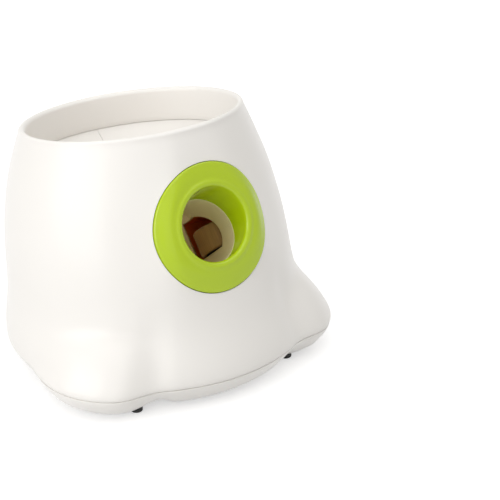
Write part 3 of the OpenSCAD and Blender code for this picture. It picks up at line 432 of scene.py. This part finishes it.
def panel_prism(gap=0):
    """The panel's outline with its rounded corners, as a prism through the rear wall."""
    bm = box_solid((-PANEL_X - gap, PANEL_LOW - gap, BEHIND_REAR),
                   (PANEL_X + gap, PANEL_HIGH + gap, BEFORE_REAR), round_by=PANEL_CORNER + gap)
    bmesh.ops.rotate(bm, verts=bm.verts, matrix=Matrix.Rotation(math.radians(90), 3, "X"))
    return bm


muzzle_tool = cutter(ring_hole(RING_R + 0.6, -22, 25))
panel_tool = cutter(panel_prism(PANEL_GAP))
shell = finish_piece("shell_skin", draw_skin(rings_of(shell_profile, BODY_STEPS)), "upper_shell",
                     cutters=[muzzle_tool, panel_tool])

# %% [markdown]
# ## The rear panel and its buttons
#
# The switches sit on a lime plate that follows the skin. A patch of the skin is thickened, trimmed
# to a rounded outline, given its screw posts and drilled, and its edges are softened last. The
# buttons are turned: a dished cap with a rounded edge, a collar that keeps it in, and a stem.

# %% Model the rear panel
POWER_AT, RANGE_AT, INLET_AT = (21, 88), (-3, 88), (21, 70)
LIGHTS_AT = [(-20, 95), (-20, 88), (-20, 81)]
POSTS_AT = [(30, 65.5), (-30, 65.5), (30, 98.5), (-30, 98.5)]
POST_R, PILOT_R, BUTTON_HOLE_R, INLET_R, LIGHT_R = 3, 1.2, 6.3, 4.6, 1.6
board_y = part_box("circuit_board")[1][1] / MM


def rear_y(x, z, inset):
    """How far back the skin lies behind a point of the panel."""
    angle = math.pi
    for _ in range(8):
        r = body_r(angle, z) - inset
        angle = math.pi - math.asin(x / r)
    return AXIS_Y - r * math.cos(angle)


def drill(at, r):
    return cutter(rod_solid((at[0], 85, at[1]), (at[0], 135, at[1]), r, sides=64))


posts = [cutter(rod_solid((x, board_y + 0.02, z), (x, rear_y(x, z, 2), z), POST_R))
         for x, z in POSTS_AT]
holes = [drill(POWER_AT, BUTTON_HOLE_R), drill(RANGE_AT, BUTTON_HOLE_R), drill(INLET_AT, INLET_R)]
holes += [drill(at, LIGHT_R) for at in LIGHTS_AT]
holes += [cutter(rod_solid((x, 80, z), (x, board_y + 7, z), PILOT_R)) for x, z in POSTS_AT]
panel = finish_piece("panel_skin", rear_patch(4, 0.4, WALL + 1.2, (40, 16)), "control_panel",
                     within=cutter(panel_prism()), posts=posts, cutters=holes,
                     soften=0.3)


# %% Turn the buttons
def button_skin(name, node, body):
    low, high = (Vector(corner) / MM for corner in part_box(node))
    middle, top = (low + high) / 2, high.y
    stem = [(0, low.y), (1.4, low.y), (1.4, top - 9.8)]
    collar = [(7, top - 9.8), (7, top - 8.2), (6, top - 8.2)]
    edge = [(6, top - 1.3), (5.9, top - 0.8), (5.6, top - 0.35), (5.15, top - 0.08), (4.7, top)]
    dish = [(4.3, top - 0.05), (3.8, top - 0.25), (2.6, top - 0.5), (1.2, top - 0.62),
            (0, top - 0.65)]
    outline = stem + collar + edge + dish
    bm = bmesh.new()
    verts = [bm.verts.new(Vector((middle.x + r, y, middle.z)) * MM) for r, y in outline]
    edges = [bm.edges.new(pair) for pair in zip(verts, verts[1:])]
    bmesh.ops.spin(bm, geom=verts + edges, cent=middle * MM, axis=(0, 1, 0), angle=2 * math.pi,
                   steps=56, use_merge=True)
    bmesh.ops.remove_doubles(bm, verts=bm.verts, dist=1e-6)
    bmesh.ops.recalc_face_normals(bm, faces=bm.faces)
    return finish_piece(name, bm, node, body=body, sharp=50)


buttons = [button_skin("power_cap", "power_button", "power_key"),
           button_skin("range_cap", "range_button", "range_key")]

# %% [markdown]
# ## The tray
#
# The tray closes the body from below. It turns under in a generous curve, leaves a fine shadow
# gap below the shell, and has an opening for the battery door. The floor is left open at first as
# a small hole at the axis, which lies inside that opening and is capped before the cut.

# %% Model the tray
SEAM, BOTTOM, FLOOR = 0.5, 4, 2.5
AXIS_HOLE_R = 12
TONGUE_OUT, TONGUE_IN, TONGUE_TOP = 3.7, 5.7, 29
DOOR_X, DOOR_Y, DOOR_GAP, DOOR_SWING_GAP = 41, (-35, 82.4), 0.6, 2.4
BOSSES, BOSS_HOLE_R = [(100, -58), (-100, -58), (0, 96)], 3.2


def tray_profile(angle):
    up = PARTING - SEAM
    inner = [place(angle, r, BOTTOM + FLOOR) for r in (AXIS_HOLE_R, 40, 70)]
    inner += [skin(angle, BOTTOM + FLOOR, WALL + 2)]
    inner += [skin(angle, z, WALL) for z in (8, 10, 13, 17)]
    tongue = [skin(angle, 18, TONGUE_IN), skin(angle, TONGUE_TOP, TONGUE_IN),
              skin(angle, TONGUE_TOP, TONGUE_OUT), skin(angle, up, TONGUE_OUT)]
    edge = [skin(angle, up, 0.7), skin(angle, up - 0.15, 0.25), skin(angle, up - 0.6)]
    outside = [skin(angle, up - 0.6 - (up - 5.4) * k / 24) for k in range(1, 25)]
    heel = [skin(angle, BOTTOM + 0.25, 0.35), skin(angle, BOTTOM, 1.4)]
    floor = [place(angle, body_r(angle, BOTTOM) * f, BOTTOM) for f in (0.97, 0.8, 0.6, 0.4)]
    return inner + tongue + edge + outside + heel + floor + [place(angle, AXIS_HOLE_R, BOTTOM)]


tray_bm = draw_skin(rings_of(tray_profile, BODY_STEPS), close=False)
bmesh.ops.holes_fill(tray_bm, edges=tray_bm.edges)
bmesh.ops.recalc_face_normals(tray_bm, faces=tray_bm.faces)
tray_tools = [cutter(box_solid((-DOOR_X - DOOR_GAP, DOOR_Y[0] - DOOR_SWING_GAP, 0),
                               (DOOR_X + DOOR_GAP, DOOR_Y[1] + DOOR_GAP, 12)))]
for x, y in BOSSES:
    tray_tools.append(cutter(rod_solid((x, y, BOTTOM - 1), (x, y, BOTTOM + 3), BOSS_HOLE_R)))
tray = finish_piece("tray_skin", tray_bm, "base_tray", cutters=tray_tools)

# %% [markdown]
# ## The muzzle ring
#
# The ring is the launcher's face: a wide green collar that follows the body, swells into a soft
# lip and runs back into the throat. Its radii and circles blend with an ease curve, so the face
# has no crease.

# %% Model the ring
RING_STEPS, FACE_STEPS, THROAT_STEPS = 192, 24, 16
FLANGE_R = 56                          # lies behind the shell
FACE_R, LIP_R = RING_R - 1.5, 32       # the face is blended between these two


def ease(f):
    return f * f * (3 - 2 * f)


def proud(turn, off):
    """The ring's edge stands a little higher at its two sides, where the skin falls away."""
    return off + 0.4 * math.cos(turn) ** 2


def on_face(turn, r, skin_off, lip_off):
    f = ease((FACE_R - r) / (FACE_R - LIP_R))
    base = on_skin(turn, r, proud(turn, skin_off))
    return base.lerp(circle(turn, LIP_C, LIP_TILT, r, lip_off), f)


def in_throat(turn, f, r):
    tilt = LIP_TILT + (BARREL_TILT - LIP_TILT) * f
    return circle(turn, LIP_C.lerp(MUZZLE, f), tilt, r)


def ring_front(turn):
    """From the flange over the rounded edge and the rolled lip, down the throat to the barrel."""
    rings = [on_skin(turn, FLANGE_R, -3.2), on_skin(turn, RING_R, -3.2), on_skin(turn, RING_R, -1)]
    for inset, off in [(0, 0.5), (0.12, 0.85), (0.4, 1.12), (0.8, 1.27)]:
        rings.append(on_skin(turn, RING_R - inset, proud(turn, off)))
    for k in range(FACE_STEPS + 1):
        r = FACE_R - (FACE_R - LIP_R) * k / FACE_STEPS
        rolled = 1.1 * math.exp(-((r - 33) / 2.4) ** 2)
        swell = 1.35 + 0.25 * ease((FACE_R - r) / (FACE_R - LIP_R))
        rings.append(on_face(turn, r, swell, rolled))
    for angle in range(10, 90, 10):
        t = math.radians(angle)
        r, off = LIP_R - 2.6 * math.sin(t), 0.92 - 3.6 * (1 - math.cos(t))
        rings.append(circle(turn, LIP_C, LIP_TILT, r, off))
    for k in range(1, THROAT_STEPS + 1):
        f = 0.1 + 0.9 * k / THROAT_STEPS
        rings.append(in_throat(turn, f, 29.4 - 1.4 * ease(f)))
    return rings + [circle(turn, MUZZLE, BARREL_TILT, BORE_R + 2.65, off) for off in (0, -SLEEVE)]


def ring_back(turn):
    """Back again on the hidden side, from the sleeve to the flange."""
    rings = [circle(turn, MUZZLE, BARREL_TILT, BORE_R + 5, off) for off in (-SLEEVE, -2)]
    rings += [in_throat(turn, f, r) for f, r in [(1, 33), (0.62, 33.6), (0.36, 34)]]
    rings += [circle(turn, LIP_C, LIP_TILT, 35.5, -3.4)]
    rings += [on_face(turn, r, -1, -2.9) for r in (38, 41, 44, 47)]
    return rings + [on_skin(turn, r, off) for r, off in [(49, -2.6), (50, -5.4), (FLANGE_R, -5.4)]]


def ring_profile(turn):
    return ring_front(turn) + ring_back(turn)


ring = finish_piece("ring_skin", draw_skin(rings_of(ring_profile, RING_STEPS)), "launch_ring",
                    sharp=50)

# %% [markdown]
# ## The bowl's floor
#
# The floor falls from the skirt to the ball hole. It is drawn as one sagging dish and then cut in
# two by an upright plane, because the picture shows a fine joint running across it.

# %% Model the bowl floor
CHUTE_Y, NECK_TOP, NECK_FOOT, CHUTE_R, FUNNEL_T = 60, 78, 70, 28, 2.2
NECK_IN, NECK_OUT, SAG = 30.8, 32.6, 3
JOINT_TURN, JOINT_HALF = math.radians(173.6), 0.15


def from_barrel(x, down, up):
    """A point in the barrel's own frame: across, along it from the muzzle, and over it."""
    c, s = math.cos(BARREL_TILT), math.sin(BARREL_TILT)
    return MUZZLE + Vector((x, down * c + up * s, up * c - down * s))


HOLE_C = from_barrel(0, CHUTE_Y, NECK_TOP)


def on_neck(turn, r, height):
    return from_barrel(r * math.sin(turn), CHUTE_Y - r * math.cos(turn), height)


def funnel_profile(angle):
    foot_r, foot_z = skirt_foot(angle)
    foot_z -= 0.45
    rim = place(angle, foot_r + 0.5, foot_z)
    lean = place(angle, foot_r, foot_z - 0.25)
    turn = math.atan2(rim.x, HOLE_C.y - rim.y)
    edge = on_neck(turn, CHUTE_R + 1.4, NECK_TOP + 0.15)
    dish = []
    for k in range(1, 15):
        f = k / 15
        sag = SAG * math.sin(math.pi * f) * (1 - 0.3 * f)
        dish.append(lean.lerp(edge, f) - Vector((0, 0, sag)))
    lip = [edge, on_neck(turn, CHUTE_R + 0.7, NECK_TOP - 0.05),
           on_neck(turn, CHUTE_R + 0.35, NECK_TOP - 0.5),
           on_neck(turn, CHUTE_R + 0.3, NECK_TOP - 1.7), on_neck(turn, NECK_IN, NECK_TOP - 1.7),
           on_neck(turn, NECK_IN, NECK_FOOT)]
    under = [on_neck(turn, NECK_OUT, NECK_FOOT), on_neck(turn, NECK_OUT, NECK_TOP - 2.4)]
    thick = Vector((0, 0, -FUNNEL_T))
    back = [p + thick for p in dish[::-1]] + [lean + thick]
    ledge = [place(angle, foot_r + 2.2, foot_z - FUNNEL_T), place(angle, foot_r + 2.2, foot_z)]
    return [rim, lean] + dish + lip + under + back + ledge


def half_of(rings, plane_normal):
    """The part of a skin on one side of the joint, closed where it was cut."""
    bm = draw_skin(rings)
    normal = Vector(plane_normal).normalized()
    on_plane = Vector((0, AXIS_Y, 0)) * MM + normal * JOINT_HALF * MM
    bmesh.ops.bisect_plane(bm, geom=bm.verts[:] + bm.edges[:] + bm.faces[:], clear_inner=True,
                           plane_co=on_plane, plane_no=normal)
    bmesh.ops.holes_fill(bm, edges=[e for e in bm.edges if e.is_boundary])
    bmesh.ops.recalc_face_normals(bm, faces=bm.faces)
    return bm


funnel_rings = rings_of(funnel_profile, RING_STEPS)
joint_side = Vector((-math.cos(JOINT_TURN), -math.sin(JOINT_TURN), 0))
funnel_right = finish_piece("bowl_floor_right", half_of(funnel_rings, joint_side), "funnel_right")
funnel_left = finish_piece("bowl_floor_left", half_of(funnel_rings, -joint_side), "funnel_left")

# %% [markdown]
# ## Shader helpers
#
# Patterns read best as sums, so a small class wraps a socket and lets it be added and multiplied
# like a number. Every other node comes from one method, with its settings first and then its
# sockets.

# %% Wrap sockets and materials
class Wire:
    """A socket that maths can be written with."""

    def __init__(self, socket):
        self.socket = socket
        self.tree = socket.id_data

    def maths(self, operation, first, second):
        node = self.tree.nodes.new("ShaderNodeMath")
        node.operation = operation
        for slot, value in zip(node.inputs, (first, second)):
            if isinstance(value, Wire):
                self.tree.links.new(value.socket, slot)
            else:
                slot.default_value = value
        return Wire(node.outputs[0])

    def __add__(self, other):
        return self.maths("ADD", self, other)

    def __sub__(self, other):
        return self.maths("SUBTRACT", self, other)

    def __mul__(self, other):
        return self.maths("MULTIPLY", self, other)

    __radd__ = __add__
    __rmul__ = __mul__


class Finish:
    """A material whose surface is one Principled shader."""

    def __init__(self, name, colour, roughness, **fixed):
        self.material = bpy.data.materials.new(name)
        self.material.use_nodes = True
        self.tree = self.material.node_tree
        self.surface = self.tree.nodes["Principled BSDF"]
        self.surface.inputs["Base Color"].default_value = (*colour, 1)
        self.surface.inputs["Roughness"].default_value = roughness
        self.colour = colour
        for socket, value in fixed.items():
            self.surface.inputs[socket.replace("_", " ")].default_value = value
        self.place = self.node("ShaderNodeTexCoord", out="Object")

    def node(self, kind, settings=None, out=0, **sockets):
        node = self.tree.nodes.new(kind)
        for key, value in (settings or {}).items():
            setattr(node, key, value)
        for name, value in sockets.items():
            self.feed(node.inputs[name.replace("_", " ")], value)
        return Wire(node.outputs[out])

    def feed(self, slot, value):
        if isinstance(value, Wire):
            self.tree.links.new(value.socket, slot)
        else:
            slot.default_value = value

    def noise(self, scale, detail=2, place=None):
        return self.node("ShaderNodeTexNoise", Vector=place or self.place, Scale=scale,
                         Detail=detail, out="Fac")

    def stretched(self, x, y, z):
        return self.node("ShaderNodeMapping", Vector=self.place, Scale=(x, y, z))

    def tint(self, amount, other):
        """The base colour, moved towards another one by a pattern."""
        mix = self.tree.nodes.new("ShaderNodeMix")
        mix.data_type = "RGBA"
        mix.inputs[6].default_value = (*self.colour, 1)
        mix.inputs[7].default_value = (*other, 1)
        self.feed(mix.inputs[0], amount)
        self.tree.links.new(mix.outputs[2], self.surface.inputs["Base Color"])

    def rough(self, value):
        self.feed(self.surface.inputs["Roughness"], value)

    def bump(self, height, distance):
        node = self.tree.nodes.new("ShaderNodeBump")
        node.inputs["Strength"].default_value = 1.0
        node.inputs["Distance"].default_value = distance
        self.feed(node.inputs["Height"], height)
        self.tree.links.new(node.outputs[0], self.surface.inputs["Normal"])


def wear(piece, finish):
    piece.data.materials.clear()
    piece.data.materials.append(finish.material)


# %% [markdown]
# ## Plastics
#
# Glossy moulded plastic isn't a perfect mirror. It has a faint orange-peel waviness, a slightly
# uneven gloss, and a very slight drift of colour where the melt was thicker.

# %% White, lime and bowl plastics
PEEL, FINE_GRAIN, DRAWN_GRAIN, TREAD_GRAIN = 0.00002, 0.00003, 0.00001, 0.0002    # metres deep


def moulded(name, colour, shade, roughness, coat, specular=0.5):
    finish = Finish(name, colour, roughness, Coat_Weight=coat, Coat_Roughness=0.2,
                    Specular_IOR_Level=specular)
    drift = finish.noise(9, 3)
    finish.tint(drift * 0.5, shade)
    finish.rough(roughness + 0.08 * (finish.noise(60, 4) - 0.5))
    finish.bump(finish.noise(140, 2) + 0.35 * finish.noise(900, 2), PEEL)
    return finish


white_gloss = moulded("white_gloss", (0.89, 0.865, 0.83), (0.92, 0.90, 0.87), 0.3, 0.15, 0.35)
bowl_white = moulded("bowl_white", (0.86, 0.835, 0.80), (0.90, 0.88, 0.845), 0.3, 0.2)
lime = moulded("lime", (0.45, 0.61, 0.004), (0.49, 0.645, 0.006), 0.17, 0.0)
for piece in (shell, tray):
    wear(piece, white_gloss)
for piece in (funnel_right, funnel_left):
    wear(piece, bowl_white)
for piece in (ring, panel):
    wear(piece, lime)

# %% [markdown]
# ## Finishes of the mechanism
#
# The mechanism's mouldings have a fine spark-eroded texture, the steel parts have a drawn grain,
# and the rubber is dull. Each slot of the record gets one of these finishes, and every piece that
# stays as it came is dressed by its slot.

# %% Matte plastics, rubber and metals
def textured(name, colour, shade, roughness):
    finish = Finish(name, colour, roughness)
    finish.tint(finish.noise(40, 4), shade)
    finish.rough(roughness + 0.15 * (finish.noise(300, 3) - 0.5))
    finish.bump(finish.noise(1600, 3), FINE_GRAIN)
    return finish


def drawn_metal(name, colour, shade, roughness):
    finish = Finish(name, colour, roughness, Metallic=1.0)
    grain = finish.noise(1, 4, finish.stretched(2400, 2400, 160))
    finish.tint(grain, shade)
    finish.rough(roughness + 0.3 * (grain - 0.5))
    finish.bump(grain, DRAWN_GRAIN)
    return finish


def grained_rubber(name, colour, shade, roughness):
    """Foam rubber whose fine grain runs across the tread, along the wheel's axle."""
    finish = Finish(name, colour, roughness)
    along_axle = finish.node("ShaderNodeMapping", {"vector_type": "TEXTURE"}, Vector=finish.place,
                             Rotation=(-BARREL_TILT, 0, 0), Scale=(0.0011, 0.0011, 0.03))
    grain = finish.noise(1, 3, along_axle)
    finish.tint(grain, shade)
    finish.rough(roughness + 0.2 * (grain - 0.5))
    finish.bump(grain, TREAD_GRAIN)
    return finish


FINISHES = {
    "cream_plastic": textured("cream", (0.82, 0.71, 0.44), (0.86, 0.76, 0.50), 0.4),
    "orange_plastic": textured("orange", (0.95, 0.17, 0.02), (0.98, 0.21, 0.03), 0.45),
    "black_rubber": textured("black_rubber", (0.012, 0.012, 0.012), (0.03, 0.03, 0.03), 0.7),
    "black_plastic": textured("black_plastic", (0.02, 0.02, 0.022), (0.035, 0.035, 0.035), 0.5),
    "gear_white": textured("gear_white", (0.75, 0.74, 0.68), (0.80, 0.79, 0.74), 0.35),
    "button_grey": textured("button_grey", (0.06, 0.06, 0.065), (0.09, 0.09, 0.09), 0.55),
    "board_green": textured("board_green", (0.01, 0.11, 0.04), (0.015, 0.15, 0.055), 0.3),
    "red_lead": textured("red_lead", (0.40, 0.012, 0.012), (0.48, 0.03, 0.03), 0.4),
    "tan_tyre": grained_rubber("tan_tyre", (0.30, 0.16, 0.05), (0.52, 0.32, 0.13), 0.65),
    "zinc_steel": drawn_metal("zinc_steel", (0.55, 0.56, 0.58), (0.66, 0.67, 0.70), 0.38),
    "shaft_steel": drawn_metal("shaft_steel", (0.62, 0.62, 0.64), (0.72, 0.72, 0.74), 0.22),
    "screw_steel": drawn_metal("screw_steel", (0.42, 0.42, 0.44), (0.55, 0.55, 0.57), 0.32),
    "contact_brass": drawn_metal("contact_brass", (0.68, 0.52, 0.22), (0.76, 0.60, 0.30), 0.3),
    "white_shell": white_gloss,
    "bowl_white": bowl_white,
    "lime_plastic": lime,
}
lens = Finish("clear_lens", (0.85, 0.95, 0.85), 0.08, Transmission_Weight=0.85, IOR=1.49)
lens.bump(lens.noise(500, 2), PEEL)
FINISHES["clear_lens"] = lens

for piece in buttons:
    wear(piece, FINISHES["button_grey"])

# %% Dress what stays as it came
slots = {part["node"]: part["material_slot"] for part in frame["record"]["subparts"]}
for node, piece in frame["nodes"].items():
    wear(piece, FINISHES[slots[node]])
print("finishes:", len(FINISHES))

# %% [markdown]
# ## Floor and light
#
# The picture has a bare white ground. The floor is a plain pale diffuse sheet, and what the camera
# sees of it gets some glow on top, so that it reads as white but keeps the contact shadow. The
# glow grows away from the launcher, where less lamp light reaches the floor. The light is a dim
# even sky, a key lamp at the left whose reflection makes the long bright band on the gloss, a
# broad panel overhead for the bowl and the lobes, and a weak fill from the front.

# %% Lay the floor
def seen_rays(tree):
    """1 for what is seen directly, in a reflection or through a clear piece, and 0 for light."""
    path = tree.nodes.new("ShaderNodeLightPath").outputs
    directly_or_mirrored = Wire(path["Is Camera Ray"]) + Wire(path["Is Glossy Ray"])
    return directly_or_mirrored + Wire(path["Is Transmission Ray"])


GLOW, GLOW_PER_METRE, GLOW_GROWTH = 0.5, 0.12, 0.35
floor_bm = bmesh.new()
bmesh.ops.create_grid(floor_bm, x_segments=1, y_segments=1, size=6)
floor_mesh = bpy.data.meshes.new("floor")
floor_bm.to_mesh(floor_mesh)
floor_bm.free()
floor = bpy.data.objects.new("floor", floor_mesh)
bpy.context.collection.objects.link(floor)
ground = Finish("ground", (0.72, 0.72, 0.72), 0.9, Specular_IOR_Level=0.0, Emission_Strength=1.0)
distance = ground.node("ShaderNodeVectorMath", {"operation": "LENGTH"}, Vector=ground.place,
                       out="Value")
glow = GLOW + distance.maths("MINIMUM", distance * GLOW_PER_METRE, GLOW_GROWTH)
ground.feed(ground.surface.inputs["Emission Color"], seen_rays(ground.tree) * glow)
wear(floor, ground)

# %% Light the scene
SKY, SEEN_SKY = 0.34, 1.0    # as a light, and as a background
world = bpy.data.worlds.new("studio")
bpy.context.scene.world = world
world.use_nodes = True
sky = world.node_tree.nodes["Background"]
sky.inputs["Color"].default_value = (1, 0.985, 0.95, 1)
strength = SKY + seen_rays(world.node_tree) * (SEEN_SKY - SKY)
world.node_tree.links.new(strength.socket, sky.inputs["Strength"])


def lamp(name, spot, aim, size, power):
    """A rectangular lamp that looks at a point. Places and sizes are in metres."""
    data = bpy.data.lights.new(name, "AREA")
    data.shape = "RECTANGLE"
    data.size, data.size_y = size
    data.energy = power
    light = bpy.data.objects.new(name, data)
    light.location = spot
    light.rotation_euler = (Vector(aim) - Vector(spot)).to_track_quat("-Z", "Y").to_euler()
    bpy.context.collection.objects.link(light)


lamp("key", (-1.7, -0.3, 0.75), (0, 0, 0.25), (1.6, 1.2), 15.5)
lamp("top", (0.1, -0.1, 1.8), (0, 0, 0.1), (3.0, 3.0), 28)
lamp("fill", (-0.9, -2.0, 0.9), (0, 0, 0.1), (1.8, 1.6), 4)
bpy.context.scene.view_settings.view_transform = "Standard"

# %% [markdown]
# ## Clearing up
#
# The solids that cut, trimmed or joined others have done their work and go.

# %% Remove the cutting solids
for tool in CUTTERS:
    bpy.data.objects.remove(tool)
